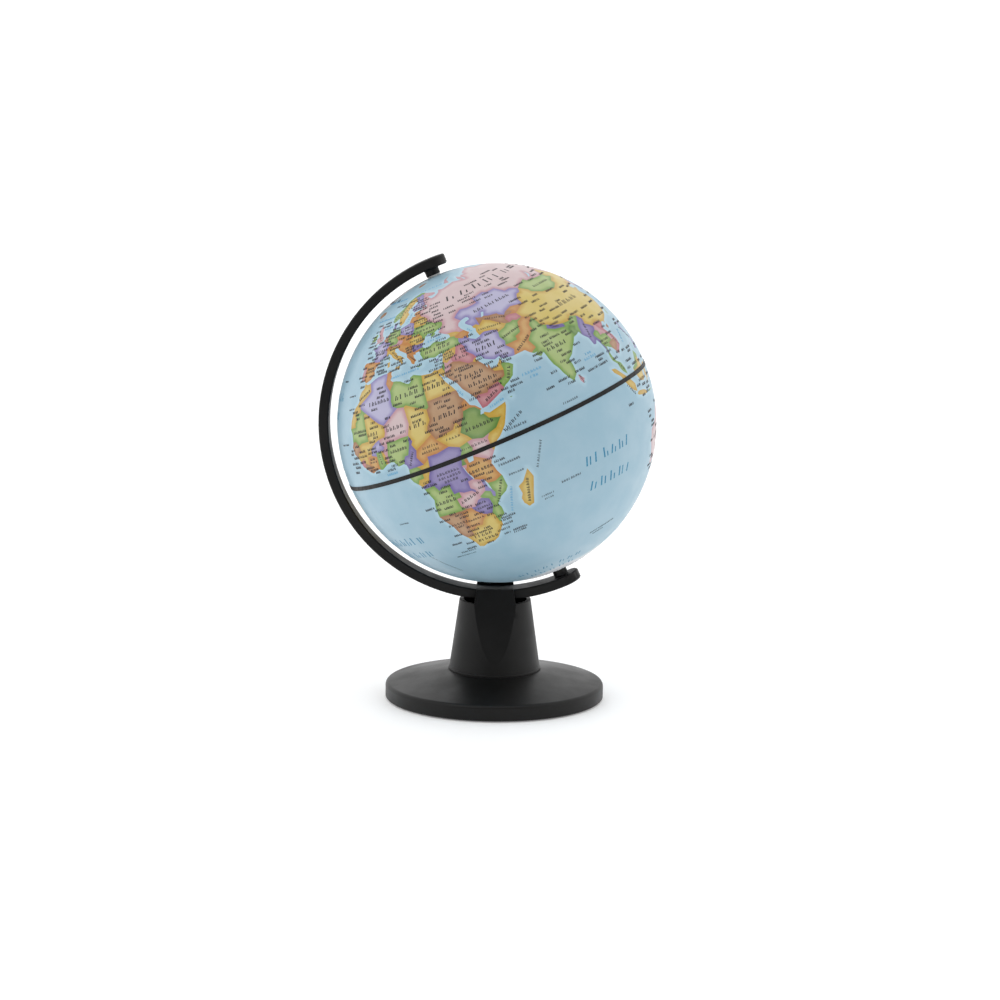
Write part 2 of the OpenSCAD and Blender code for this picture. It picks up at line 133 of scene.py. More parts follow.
ISLANDS = """
49.3/-12 50.4/-15.5 49.5/-18 48/-22 47/-25 45/-25.5 43.6/-23.5 43.4/-21.5 44.4/-19.8 44.1/-16.8
# Madagascar
46.3/-15.7 48/-13.6;
# Sri Lanka
80/9.7 81.8/7.5 80.6/6 79.8/7.5; -5.6/50.1 -3.5/50.5 1.3/51.1 1.7/52.7 0.2/53.2 -1.5/55 -2/57.5 -4/57.7
-3.2/58.6 -5/58.6 -6/56.5
# Great Britain
-4.8/54.8 -3/54 -3.2/53.4 -4.6/52.8 -4.8/51.9 -3.2/51.4;
# Ireland
-10/52 -6.3/52.2 -6/53.8 -5.8/54.7 -7.5/55.3 -8.6/54.4 -10/54.1 -9.2/53.2;
# Iceland
-24/65.5 -22.5/66.4 -16/66.5 -13.7/65 -18.5/63.4 -22.6/63.9; 12.5/38 15.6/38.3 15.1/36.7; 8.4/39 8.3/40.9
9.7/41.1 9.6/39.2; 8.6/42.3 9.4/43 9.4/41.5;
# Crete, Cyprus
23.6/35.5 26.3/35.2 24.5/34.9; 32.4/35 34.4/35.6 33.4/34.6;
# Svalbard
11/79.5 20/80.5 27/80 19/77.5 14.5/77;
# Novaya Zemlya
52/71.3 56/74.5 67/76.9 58/74 57.5/70.7;
# Sakhalin
142.3/46 142/49.5 142.5/54.2 143.5/52.5 143/49 143.5/46.3; 130/33.5 131/34.3 133/35.5 136/35.8 137/37.4
138.8/38 140/40 140.3/41.2 141.5/41.3 142/39.5 141/37.9 140.8/35.6 139.7/35 138.7/34.6 136.9/34.6 135.8/33.5
134.2/33.4 132.9/32.8 131.9/33.2 131.4/31.4
# Japan
130.2/31.2 129.7/33; 140/41.6 140.5/43.3 141.8/45.5 145.3/43.4 143.2/42 141/42.5; 121/25.2 122/25 120.9/22
120.1/23; 108.7/19.3 110.6/20.1 110.5/18.8 109.4/18.2;
# Philippines
120.6/18.5 122.2/18.5 121.6/16 122/14.2 124/12.8 120.7/13.9 119.9/16.2; 122/7 123.5/8.6 124.5/12.3 125.5/12.2
126.4/7.5 125.5/5.8 124/6.6; 95.3/5.6 97.5/5.2 100.5/2.2 103.5/-0.5 106/-3 105.8/-5.8 103.8/-5 101.5/-3
100/-0.8 98.6/1.9 96/4;
# Sumatra, Java
105.3/-6.8 106.7/-6 110.5/-6.5 112.7/-7 114.5/-7.8 114.4/-8.7 110/-8.1 106.5/-7.4; 109/1.5 109.3/2 111.5/2.5
113/3.2 116/6.2 117/7 119.2/5.2 117.9/3.6 118.9/1 117/-0.5 116.3/-3.5
# Borneo
114.5/-4 111.5/-3.3 110/-1.3; 119.8/0.5 121/1.2 125/1.6 124.3/0.4 120.7/0.3 121/-1.2 123.3/-0.9 121.8/-2
122.8/-4.5 121.5/-4.6
# Sulawesi
121/-2.8 120.4/-5.6 119.5/-5.5 119.5/-3.5 118.8/-2.7; 131/-0.9 134/-0.9 135/-3.2 138/-1.7 141/-2.6 145.5/-4.6
147.8/-6.1 147.2/-7.5 150.5/-10.5 147/-9.6
# New Guinea
144/-7.7 141/-9.1 138/-8.3 138/-5.5 133/-4 132.5/-2.8; 124/-10.2 127/-8.4 125/-9.2; 116/-8.5 118/-8.2
122.8/-8.3 119/-8.9; 148.5/-5.6 152/-4.2 150.5/-6.2;
# Tasmania
144.8/-40.8 148.2/-41 147.5/-43.4 146/-43.4; 173/-34.5 175.5/-36.6 178.4/-37.8 177/-39.5 175.2/-41.5
173.9/-39.3 174.7/-38; 173/-40.6 174.3/-41.7 172.8/-43.7 170.7/-45.9 168.5/-46.6 166.5/-45.9 168.5/-44
171.3/-42.3; -73/78.2 -60/82 -35/83.6 -22/82 -18/80 -20/76 -22/72 -24/70 -32/68.2 -40/65 -43/60 -48/61 -53/66
# Greenland
-54/70 -58/75.5 -66/76.2; -66/62 -62/66.5 -68/70 -80/73.7 -89.5/73 -84/70 -73.5/68 -73/65 -78/64.5 -70/62.7;
-65/81.5 -70/83.1 -91/81.8 -88/78.5 -90/76.3 -79/76.3 -76/79;
# Arctic Canada
-125/72 -118/73.3 -105/73.2 -102/69.4 -115/69.3 -117/70.5 -124/71;
# Newfoundland
-59.3/47.7 -57/51.2 -55.5/51.5 -52.8/47.5 -55.5/46.9; -84.8/22 -82.5/23.1 -77.5/21.9 -74.3/20.2 -77.6/19.9
-78.5/21; -74.4/18.4 -73/19.9 -68.4/18.6 -71.2/17.8; -154/57 -152.3/58.3 -152.5/57.3; -156.2/19.8 -155/19.6
-155.6/19; -61/-52 -58/-51.5 -59/-52.2; 53.3/12.7 54.5/12.6 53.9/12.3; 117.2/8.5 119.4/11.2 118.5/9.4;
127.7/1.9 128.6/0.8 127.9/-0.7
"""

LAKES = """
29/41.2 31.3/41.2 33.3/42 35/42.1 36.5/41.3 39.5/41 41.6/41.6 41.4/42.7 39.5/43.7 37.5/44.8 36.8/45.3
38.3/46.4 39.2/47.1 36.5/46.6 35/46 35.3/45.2 33.6/44.5 32.6/45.3 33.5/46 31.5/46.6 30/45.8 29.6/45
# Black Sea
28.6/44 27.8/42.5 28.2/41.6; 47.6/45.6 49.5/46.5 52/46.9 53.1/46.5 53.2/45.4 51/45 50.3/44.4 51.5/43.2
52.6/42.4 52.8/41.2 53.6/40.6 53.2/39.2 53.8/37 51.5/36.6 50/37.4 49/38 49.2/39.2 50.4/40.3 49/41.5 47.6/43
47/44.5;
# Aral, Victoria
58.7/44 60/46.2 61.3/46 60/44.2; 31.7/-0.6 32.6/0.3 34/0.2 34/-1 33.6/-2.4 31.9/-2.6;
# Tanganyika
29.2/-3.4 29.7/-5.5 30.8/-8.3 31.1/-8.6 30.9/-7.4 29.9/-5.6 29.5/-3.4; 34/-9.6 34.2/-11.5 34.4/-13 35.2/-14.2
34.8/-11.5; 104/51.7 107.5/53.4 110/55.6 109/53 105.5/51.6; 30.3/60.5 31.5/61.5 33/61 32/60.1; -92/46.8
-89/48.3 -86/48.6 -84.8/46.8 -88/46.9; -87.6/42 -88/44.5 -85.5/46 -81/46 -80/44.5 -82.3/43.1 -83.5/45.3
-85.3/45 -86.3/43; -83.3/41.8 -79/43 -76.3/44.1 -76.4/43.5 -79.2/42.6 -82.5/41.5; -125/65.2 -120/66.7
-117.8/66.4 -121.5/65; -117/61 -113.5/62.4 -109.5/62.7 -112.8/61.2; -99/50.6 -98.8/53.8 -96.3/52 -96.6/50.4
"""

# Southern ice, from one edge of the flat map to the other
ANTARCTICA = """
-170/-78 -158/-77.3 -150/-77 -135/-74.5 -115/-74 -100/-72.5 -80/-73.5 -68/-68.5 -57.5/-63.3 -61/-67.5 -62/-74
-45/-78 -30/-76 -15/-72 0/-70 30/-69 50/-66.8 70/-69 80/-68 90/-66.7 110/-66.2 135/-66.3 150/-68.5 168/-71.5
165/-78 180/-78.3 190/-78
"""

# Land borders. An end at a shore runs on into the sea, and an end at a border shares its point.
BORDERS = """
# North Africa
25.2/32.5 25/29 25/22 37.9/22; 25/22 25/20 24/19.5 16/23.4 15/23 12/23.5 10/24.5 9.5/26.5 9.9/28.5 9.5/30.2
11.5/32.5 11.6/33.8; 24/19.5 24/15.7 22.4/13.8 22/12.6 22.9/11; 9.5/30.2 7.6/33.2 8.3/35.5 8.5/37.6; 12/23.5
4.2/19.2 1.8/20.4 -4.8/25 -8.7/27.3 -8.7/28.7 -3.5/31 -1.2/32.3 -2.2/35.9; -8.7/27.3 -8.7/26 -12/26 -12/23.4
-13/22.8 -13/21.3 -17.7/21.3; -4.8/25 -6.5/25 -5.5/15.5 -10/15.4 -12.2/14.7 -14.3/16.6 -17.2/16.2; -12.2/14.7
-11.4/12.5;
# West Africa
-14/8.9 -11/10 -10.5/8.4 -8.4/7.6 -8/10.2 -9/12.3 -11.4/12.5 -13.7/12.4 -13.8/11.7 -15.6/10.4; -10.5/8.4
-12.2/6; -8.4/7.6 -7.4/5.8 -7.5/3.6; -8/10.2 -5.5/10.4 -5.2/11.8 -4/13.3 -2/14.3 0.2/15 3.5/15.4 4.2/16.8
4.2/19.2; -5.5/10.4 -2.8/9.7 -2.8/11 0/11.1 0.9/11 2.4/11.9 1/13.3 0.2/15; -2.8/9.7 -3/7 -3/4.2; 0/11.1 0.4/8
1.2/5.2; 0.9/11 1.6/9 1.8/5.4; 2.4/11.9 3.6/11.7 2.8/9 2.7/5.5; 3.6/11.7 4.1/13.5 7.5/13 10/13.3 14/13.2
15.6/16.9 15/23; 22.9/11 18.8/9 15.4/7.6 14.2/9.9 15/11 14/13.2 13.3/10.2 11.7/7 10/6.9 8.5/3.8;
# Nile and the Horn
22.9/11 24/8.7 28/9.4 31/9.8 32.7/12 34/9.5 34.3/10.6 36/12.7 36.5/14.3 37/17 39.2/18.4; 36.5/14.3 39/14.6
40.8/14.2 42.4/12.5 43.5/12.8; 42.4/12.5 41.8/11 42.9/11 43.8/11.9; 42.9/11 44/9 47/8 48/8 45/5 42/4.2
39.5/3.5 36/4.5 35/6 33/7.9 34/9.5; 42/4.2 41/2.8 41/-1 41.8/-2.6; 36/4.5 34/4.2 35/1.5 34/0.2; 34/-1
37.6/-3.2 39.8/-5.2; 24/8.7 27.4/5 30.9/3.5 34/4.2;
# Congo and the lakes
27.4/5 22.5/4.2 18.6/4.3 18.6/3.5 16.2/2.2 14.5/5.2 15.4/7.6; 16.2/2.2 13.3/2.2 9.2/2.2; 13.3/2.2 14.4/1.2
14.2/-2.3 12/-2.4 10.6/-4.4; 18.6/3.5 17.8/0 16.2/-2.3 15.3/-4.3 13/-4.7 11.4/-5.3; 11.7/-6.1 13.2/-5.9
16.5/-5.9 17.5/-8.1 19.5/-7.2 21.8/-7.3 22/-11 24/-10.9 25.5/-11.7 28.4/-12 29.8/-13.4 29.7/-12.1 28.4/-11
28.7/-8.5 30.8/-8.3; 29.2/-3.4 29/-2.7 29.6/-1.3 29.8/0.3 31.2/2.3 30.9/3.5; 29.6/-1.3 30.5/-1.1 31.7/-0.6;
30.5/-1.1 30.8/-2.8 30/-4.3 29.5/-3.4; 29/-2.7 30.8/-2.8; 31.1/-8.6 32.9/-9.4 34/-9.6; 32.9/-9.4 33.3/-12.5
32.7/-13.8 34.5/-14.5 34.5/-16.5 35.2/-17 35.8/-15.5 35.2/-14.2; 34.8/-11.5 37.5/-11.7 41.2/-10.3;
# Southern Africa
32.7/-13.8 30.2/-15 30.4/-15.7 28.8/-16 27/-18 25.2/-17.8 26/-19.5 28/-21.5 29.3/-22.2 31.3/-22.4 33/-19.5
32.8/-16.8 30.4/-15.7; 31.3/-22.4 32/-24.3 32/-26.8 33.6/-26.9; 29.3/-22.2 27/-23.7 25.5/-25.6 23/-25.3
20.7/-26.8 20/-24.8 20/-22 21/-22 21/-18.4 25.2/-17.8 23.3/-17.5 21.4/-17.8 14/-17.4 11.1/-17.2; 20/-24.8
20/-28.4 17.5/-28.7 15.6/-28.5; 24/-10.9 24/-13 22/-13 22/-16.2 23.3/-17.5;
# Middle East
34/31.9 34.9/29.5 35.5/31.5 35.7/33 34.4/33.4; 35.7/33 36.8/32.3 38.8/33.4 39.2/32 37/31.5 38/30.4 36/29.2
34.8/29; 39.2/32 42/31.1 44.7/29.2 46.5/29.1 47.7/30.1 48.6/29.8; 46.5/29.1 47.5/28.5 49.2/28.7; 38.8/33.4
41.2/34.5 42.4/37.1 44.8/37.2 46/35.5 45.5/33.8 47.8/31.5 48.7/29.8; 35.3/36 36.7/36.3 38/36.8 42.4/37.1;
44.8/37.2 44.3/38.5 44.8/39.7 43.7/40.2 43.5/41.1 41/41.6; 44.8/39.7 46.5/38.9 48/39.5 48.4/38.4 49.6/38.4;
43.5/41.1 45/41.3 46.5/41.9 45/42.7 42.5/43.2 39.4/43.2; 46.5/41.9 49/42; 42.1/16.4 43.3/17.5 47/17 48/18.2
52/19 53.2/16; 52/19 55/20 55.7/22 55.7/24.2 56.8/25.1; 55.7/22 52.5/22.9 51.6/24.6;
# Central Asia
60/44.2 62/43.5 66/42.9 66.5/42 68.5/41 70/42 71/42.3 74/43.2 80.2/42.1 80.5/45 83/47 85.5/47.2 87.5/49.2
91/46.5 91/45 96/42.7 102/42.3 105/41.6 111.5/43.4 112/45 119.7/46.8 116/48 116.7/49.8 120/52.7 123.5/53.5
127.5/50 130.8/48.5 134.7/48.3 133/45 131/44.8 130.5/42.7 131/42.1; 124.8/37.7 126.2/37.9 128.9/38.7; 58.7/44
56/45 56/41.3 58.5/42.8 61.5/41.2 64/39 66.5/37.4 68.2/37.1 70/37.6 71.4/36.8 74.5/37.2 73.7/39.5 71/40.2
73/41 71/42.3; 130.5/42.7 128/42 126.5/41.5 123.8/39.6; 53.4/37.3 56/38 59.5/37.3 61.2/36.6 61.2/35.5
60.6/33.5 61.7/31.3 60.9/29.8 66.3/29.9 66.4/31.3 69.3/32 70/33.8 71.2/36 74.5/37.2; 71/40.2 69/40.2
67.5/39.3 68.2/37.1; 49.4/46.1 46.8/48.7 48.5/50 51.5/51.5 55/51 58.5/51 61.5/51.3 61/54 69/55.3 71/54.2
76.8/54.4 80/50.8 83.5/51 87.5/49.2 92/50.7 98/52 98.5/50.5 102.3/50.5 107/49.7 113/49.6 116.7/49.8;
73.7/39.5 76/40.4 80.2/42.1; 56/41.3 54.5/42.2 52.2/41.8; 60.9/29.8 63/27.2 61.7/24.6; 61.2/35.5 64.7/36.3
66.5/37.4;
# India and the south east
67.9/23.2 71/24.5 70/27.8 72.5/29.8 74.5/31 74.5/33 77.8/35.5 74.5/37.2; 77.8/35.5 78.8/32.6 78.8/31.3
81/30.2 84/28.8 88/27.9 88.1/26.5 83/27.4 80.1/28.8 81/30.2; 88/27.9 92/27.7 94/29.2 97.3/28.2 94.7/25.5
93.4/24 92.6/21.9 91.3/23.8 92.3/25 89.8/26.2 88.2/25 88.7/23.5 88.9/21.1; 92.6/21.9 91.7/20.5; 97.3/28.2
98.7/26 97.7/24 99.5/23 101.1/21.7 100.1/20.3 97.8/19.5 97.5/18.5 98.9/16.2 98.3/15 99.2/13.3 99.2/11.5
98/9.8; 100.1/20.3 101.2/19.5 101/17.7 102.5/17.9 104.7/17.3 105.5/14.4 102.8/14 102.7/11.7; 105.5/14.4
107.5/14.6 106.5/16.5 104/19.2 103/21 102.1/22.5 101.1/21.7; 102.1/22.5 104.5/22.8 106.7/22.3 108.3/21.2;
107.5/14.6 107.5/12.5 105.9/11.4 104/10 103.3/9.4; 99.4/6.5 102.8/6.3; 108.9/2.2 110/1 112/1.4 114/1.5
115.5/3 115.7/4.3 118.4/4.2; 141/-2 141/-9.8;
# Europe
-9.3/41.9 -6.6/41.9 -7/39 -7.4/36.8; -2.4/43.8 -1.7/43.1 0.7/42.7 3.7/42.4; 1.9/51.5 4.2/50 6.3/49.5 8.2/49
7.6/47.6 6.1/46.3 7/45.9 7/44.2 7.8/43.3; 6.3/49.5 6/51.8 7.2/54; 7.6/47.6 9.6/47.5 13/47.6 13.8/48.8
12.3/50.3 14.8/51 14.2/54.3; 7/45.9 9/46 10.5/46.8 13.7/46.5 13.5/45.2; 9.6/47.5 10.5/46.8; 8/54.9 10.7/54.8;
14.8/51 18.5/49.8 22.6/49.1 22.2/48.4 20/48.2 17/48 13.8/48.8; 17/48 16.2/46.8 13.7/46.5; 22.2/48.4 22.9/48
20.3/46.2 18.8/45.9 16.2/46.8; 20.3/46.2 22.6/44.3 22.5/42.3 23/41.3 21/40.9 19.3/39.6; 22.6/44.3 25.5/43.7
29.2/43.8; 28.6/41.9 26.3/41.8 23/41.3; 26.3/41.8 26/40.3; 22.9/48 26.5/48.2 28.2/46.5 28.2/45.4 30.3/45.2;
22.6/49.1 24/50.8 23.6/51.6 30.5/51.3 31.8/52.1 34.3/51.3 36/50.3 40/49.5 39.8/47.9 38.2/46.7; 23.6/51.6
23.6/53.9 26.6/55.7 28.2/56.1 30.8/55 32.5/53.5 31.8/52.1; 28.2/56.1 27.4/57.6 27.5/59 28.2/60; 23.6/53.9
22.7/54.4 20/55.2; 27.7/60.1 31.3/62.8 29.5/64.5 30/67.7 28.9/69 31/70.4; 28.9/69 27.5/70 25.7/69 20.6/69.1
16/67.5 14/64.5 12.3/62 12.5/60.5 11.1/58.7; 20.6/69.1 23.8/67 24.2/65.2;
# North America
-141/70.3 -141/60.3 -137.5/59.4 -135.5/59.8 -130/56 -131/54.2; -123.8/48.9 -95/49 -92/48 -90/48 -88.5/47.7;
-85.2/47.2 -84/46.4 -83.5/45.7; -82.3/43.1 -83.3/41.8; -76.3/44.1 -74.8/45 -71.4/45.2 -69.2/47.4 -67.8/47
-67/44.4; -117.8/32.5 -114.8/32.6 -111/31.3 -108.2/31.6 -106.4/31.8 -104.5/29.6 -103/29 -101.5/29.8 -99.3/27
-96.8/25.9; -92.6/14 -91.7/16 -91/17.8 -89.2/17.8 -87.4/18.4; -89.3/13.1 -89.4/14.4 -88/16.4; -87.9/12.7
-86/13.8 -82.9/15.1; -86.1/11 -83.2/10.9; -83/8 -82.6/9.9; -78/7 -77.1/9;
# South America
-71.2/12.2 -72.5/10 -72/7.2 -67.5/6.2 -67/1.2 -69.5/1 -70/-4.2 -73/-2.3 -75.3/0 -77.5/0.4 -79.4/1.7;
-80.8/-3.5 -79/-5 -78/-3 -75.3/0; -67/1.2 -64/1.5 -64.5/4.2 -60.7/5.2 -61.2/7 -59.6/9; -60.7/5.2 -59.5/2
-56.5/2 -54.5/2.3 -52.5/2.3 -51/4.6; -56.5/2 -57.3/6.5; -54.5/2.3 -53.9/6.4; -70/-4.2 -73.5/-7.5 -72.5/-9.7
-70.5/-9.8 -69.5/-11 -69/-15 -69.5/-17.5 -71.1/-18.6; -69.5/-17.5 -68.5/-20 -67.8/-22.9 -64/-22.5 -62.6/-22.2
-62/-19.8 -58.2/-19.8 -58.3/-17 -60/-16.2 -60.5/-13.7 -65.3/-12 -66/-9.8 -69.5/-11; -58.2/-19.8 -57.8/-22.1
-55.6/-22.5 -54.5/-25.6 -55.8/-27.4 -58.6/-27.3 -58/-25.3 -62.6/-22.2; -54.5/-25.6 -53.8/-27.2 -57.6/-30.2
-53.5/-33 -52.8/-34; -57.6/-30.2 -58.2/-33.2 -58/-34.5; -67.8/-22.9 -68.5/-27 -70/-33 -71.5/-38 -71.8/-44
-72.4/-50 -71/-52 -68.9/-53 -68.6/-55.8
"""

# Tint of each country, at a point inside it. Where no tint is given, there is sea.
COUNTRIES = {
    "pink": """
105/62 142.6/50 56/72.8 8/17 -8.5/40 37.5/0.5 30.3/-3.2 27.5/-14.5 -90.3/15.5 -2/53 127.5/40.8 80.8/7.6
-66/-36 134/-25 147/-42 15/47.5 104/19 36.5/31.2 2.3/9.5
""",
    "rose": """
43.5/33 47/15.5 108/14 -67/8 73/39 -12/8
""",
    "yellow": """
29/27 -6/31.5 -1/18 19/15 30/7 46.5/5 15.4/0.5 38/35 59/39.5 105/35 14.8/62 28/53.5 25/46 13/43 24/-29.5
46.5/-20 1/9 -10.5/11 101.5/-1 110/-7.3 114/-1 121/-2 137/-4.5 9/39.8 -70/66.5 -80/79 -111/71 -56/49 -60/-4
138/36 143/43.8 14.2/37.5 43.5/42.2 48/29 54.5/23.6 -95/58 -85/13 128.1/0.5
""",
    "green": """
16/27 -10.5/19 8/10 32.5/1.5 16/-12 38.5/-14 57/20 33.5/39 66/33.8 79/22 104/46.5 100/16 10/51 31/49 10/60.5
-8/53 -2.5/7.2 102/4.5 114/3.5 -100/40 -150/65 -75/-10 11.6/-0.8 -57/-32.8 121/23.8 8.9/42.2 -77/21.3
119/-8.6 -84/10 53.9/12.5
""",
    "leaf": """
40/8 -54/4 90/24.3 24.8/35.1 30.2/-2 34.9/31.2
""",
    "lavender": """
67/48 3/28 54/33 26/62.5 2/46.5 -1.5/12.3 19/52 -64/-17 145/-6.5 128/36 121/17.5 -75/4 -69.5/-25 -80.5/8.7
33.8/-12.5
""",
    "purple": """
24/-3 29.5/-19.5 12.3/5.5 96/21 84/28.2 25/42.7 -102/24 -56.5/4 124.8/8 9.5/56 118.6/9.8 33.2/35
""",
    "orange": """
69/28 24.5/-22.5 34/-6.3 21/6.5 38.7/15.3 9.3/34 -4/40 22/39 8.5/47 25.5/57.5 19/44 16/49.7 -5.4/7 47.5/40.5
73.5/42 19/47 -60/-23.5 -86.5/15 -78.5/-1.5 -71/18.8 150/-5.4
""",
    "tan": """
45/24 30/15 17/-21 63/42 109.5/19 175.5/-39 171/-43.5 -15/14 17/79 -19/65 -59/5 4.8/51.5 125.4/-9.2 -9.5/6.3
105/13
""",
    "ice": """
0/-80 -40/70
""",
}

# ---- Short calls used all through ----


def entries(text):
    """Rows of numbers from written text."""
    written = " ".join(row for row in text.splitlines() if not row.startswith("#"))
    return np.array([[float(number) for number in entry.split("/")] for entry in written.split()])


def shapes(text):
    """The lines in written text, each as rows of longitude and latitude."""
    return [entries(shape) for shape in text.split(";")]


def linear(red, green, blue):
    """Scene-linear colour from a 0 to 255 one."""
    return tuple((value / 255 / 12.92 if value < 10 else ((value / 255 + 0.055) / 1.055) ** 2.4)
                 for value in (red, green, blue))


def add_object(name, data):
    obj = bpy.data.objects.new(name, data)
    bpy.context.collection.objects.link(obj)
    return obj


def add_mesh(name, vertices, faces):
    mesh = bpy.data.meshes.new(name)
    mesh.from_pydata(vertices, [], faces)
    return add_object(name, mesh)


def set_range(node, *values):
    """Smooth step of a Map Range node: from low, from high, to low, to high."""
    node.interpolation_type = "SMOOTHSTEP"
    for socket, value in zip(("From Min", "From Max", "To Min", "To Max"), values):
        node.inputs[socket].default_value = value


# ---- Materials ----


class Shader:
    """A Principled material and short calls that add and join its nodes."""

    def __init__(self, name, colour, roughness, **constants):
        self.material = bpy.data.materials.new(name)
        self.material.use_nodes = True
        self.tree = self.material.node_tree
        self.surface = self.tree.nodes["Principled BSDF"]
        self.surface.inputs["Base Color"].default_value = (*colour, 1)
        self.surface.inputs["Roughness"].default_value = roughness
        for socket, value in constants.items():
            self.surface.inputs[socket.replace("_", " ")].default_value = value

    def add(self, kind, **settings):
        node = self.tree.nodes.new("ShaderNode" + kind)
        for key, value in settings.items():
            setattr(node, key, value)
        return node

    def feed(self, socket, value):
        """Gives a socket a number, a colour or another node's output."""
        if isinstance(value, (int, float)):
            socket.default_value = value
        elif isinstance(value, tuple):
            socket.default_value = (*value, 1)
        else:
            self.tree.links.new(value, socket)

    def noise(self, scale, detail=2.0, stretch=None):
        """Noise with about one blob per 1 / scale metres of the object."""
        node = self.add("TexNoise")
        node.inputs["Scale"].default_value = scale
        node.inputs["Detail"].default_value = detail
        where = self.add("TexCoord").outputs["Object"]
        if stretch:
            mapping = self.add("Mapping")
            mapping.inputs["Scale"].default_value = stretch
            self.feed(mapping.inputs["Vector"], where)
            where = mapping.outputs["Vector"]
        self.feed(node.inputs["Vector"], where)
        return node.outputs["Fac"]

    def ramp(self, source, low, high, out_low=0.0, out_high=1.0):
        """Smooth step of source from low to high, as out_low to out_high."""
        node = self.add("MapRange")
        set_range(node, low, high, out_low, out_high)
        self.feed(node.inputs["Value"], source)
        return node.outputs["Result"]

    def math(self, operation, a, b):
        node = self.add("Math", operation=operation)
        self.feed(node.inputs[0], a)
        self.feed(node.inputs[1], b)
        return node.outputs["Value"]

    def mix(self, factor, a, b):
        """Colour mix; a and b are colours or outputs."""
        node = self.add("Mix", data_type="RGBA")
        for index, value in ((0, factor), (6, a), (7, b)):
            self.feed(node.inputs[index], value)
        return node.outputs[2]

    def colour(self, source):
        self.feed(self.surface.inputs["Base Color"], source)

    def roughness(self, source):
        self.feed(self.surface.inputs["Roughness"], source)

    def bump(self, *layers):
        """Bump from (height output, depth in metres) layers, one over the other."""
        normal = None
        for height, depth in layers:
            node = self.add("Bump")
            node.inputs["Distance"].default_value = depth
            node.inputs["Strength"].default_value = 1.0
            self.feed(node.inputs["Height"], height)
            if normal:
                self.feed(node.inputs["Normal"], normal)
            normal = node.outputs["Normal"]
        self.feed(self.surface.inputs["Normal"], normal)


def dress(obj, shader):
    """Gives the object one material."""
    obj.data.materials.clear()
    obj.data.materials.append(shader.material)


def black_plastic(name, roughness, texture):
    """Moulded black plastic: a fine spark-eroded texture, faint flow marks and a few light scuffs."""
    s = Shader(name, (0.006, 0.006, 0.006), roughness, Specular_IOR_Level=0.24)
    flow = s.noise(28, 3)
    grain = s.noise(2600, 2)
    s.colour(s.mix(s.ramp(flow, 0.3, 0.7), (0.0025, 0.0025, 0.0025), (0.0065, 0.006, 0.0055)))
    scuffs = s.math("ADD", s.noise(60, 4), s.math("MULTIPLY", grain, 0.4))
    s.roughness(s.ramp(scuffs, 0.4, 1.0, roughness - 0.05, roughness + 0.08))
    s.bump((flow, 0.00012), (grain, texture))
    return s


def plated_steel():
    s = Shader("plated_steel", (0.62, 0.62, 0.6), 0.3, Metallic=1.0)
    scratches = s.noise(900, 3, (1, 1, 12))
    s.roughness(s.ramp(scratches, 0.3, 0.7, 0.22, 0.4))
    s.bump((scratches, 0.00002))
    return s


def cast_iron():
    s = Shader("ballast_iron", (0.12, 0.12, 0.125), 0.6, Metallic=0.8)
    pits = s.noise(700, 5)
    s.colour(s.mix(s.ramp(s.noise(60, 4), 0.35, 0.7), (0.09, 0.09, 0.095), (0.17, 0.15, 0.13)))
    s.roughness(s.ramp(pits, 0.3, 0.7, 0.45, 0.75))
    s.bump((pits, 0.00015))
    return s


def white_plastic():
    s = Shader("white_plastic", (0.74, 0.74, 0.72), 0.4)
    s.colour(s.mix(s.noise(80, 3), (0.70, 0.70, 0.67), (0.80, 0.80, 0.78)))
    s.roughness(s.ramp(s.noise(300, 3), 0.3, 0.7, 0.34, 0.5))
    s.bump((s.noise(1500), 0.00001))
    return s


def cover_board():
    s = Shader("cover_board", (0.05, 0.05, 0.05), 0.7)
    fibre = s.noise(900, 4, (1, 3, 1))
    s.colour(s.mix(fibre, (0.035, 0.035, 0.035), (0.075, 0.072, 0.07)))
    s.roughness(s.ramp(fibre, 0.3, 0.7, 0.6, 0.8))
    s.bump((fibre, 0.00004))
    return s


def felt():
    s = Shader("foot_felt", (0.02, 0.02, 0.02), 0.95, Sheen_Weight=0.4, Sheen_Roughness=0.5)
    hairs = s.noise(1800, 4, (1, 2.5, 1))
    clumps = s.noise(350, 3)
    s.colour(s.mix(s.math("MULTIPLY", hairs, clumps), (0.012, 0.012, 0.013), (0.06, 0.06, 0.062)))
    s.roughness(s.ramp(hairs, 0.3, 0.7, 0.88, 1.0))
    s.bump((clumps, 0.0002), (hairs, 0.00015))
    return s


def tape():
    """Black tape, a little brown where it has worn, with shallow waves and a fine grain."""
    s = Shader("equator_tape", (0.008, 0.008, 0.008), 0.5, Specular_IOR_Level=0.25)
    s.colour(s.mix(s.ramp(s.noise(90, 4), 0.45, 0.75), (0.006, 0.006, 0.006), (0.02, 0.014, 0.011)))
    s.roughness(s.ramp(s.noise(500, 3), 0.3, 0.7, 0.42, 0.6))
    s.bump((s.noise(220, 3), 0.00006), (s.noise(2000), 0.00001))
    return s


